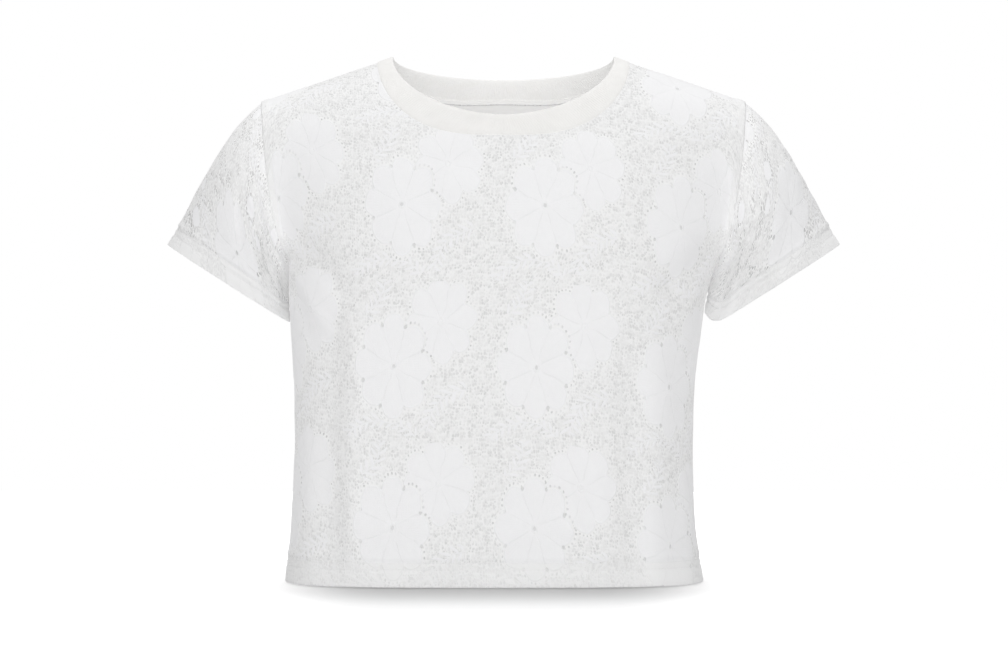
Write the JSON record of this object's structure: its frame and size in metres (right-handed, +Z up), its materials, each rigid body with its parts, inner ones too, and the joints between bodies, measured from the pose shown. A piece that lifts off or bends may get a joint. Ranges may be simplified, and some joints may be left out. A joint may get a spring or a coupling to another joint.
{
  "type": "short-sleeved cropped t-shirt",
  "caption": "Fitted cropped t-shirt of floral lace over a plain knit lining, with short unlined lace sleeves and a rib crew collar, standing hollow as it is worn.",
  "frame": {"origin": "midway between the two high shoulder points, where the neck seam meets the shoulder ridge, rounded to the height of the collar there: the wearer's shoulders hold the garment up from here", "axes": "+Z up, -Y towards the front of the garment, +X towards the right of someone who faces the front"},
  "size_m": [0.557, 0.2186, 0.4331],
  "materials": {
    "lace": "white warp-knit floral lace: satin-dense petals on an open net, matt with a soft sheen on the petals",
    "lining": "smooth white fine jersey, matt",
    "rib": "warm off-white fine rib knit, matt"
  },
  "bodies": {
    "root": {"front": "lace", "back": "lace", "front_lining": "lining", "back_lining": "lining", "sleeve_left": "lace", "sleeve_right": "lace", "collar": "rib"}
  },
  "joints": []
}
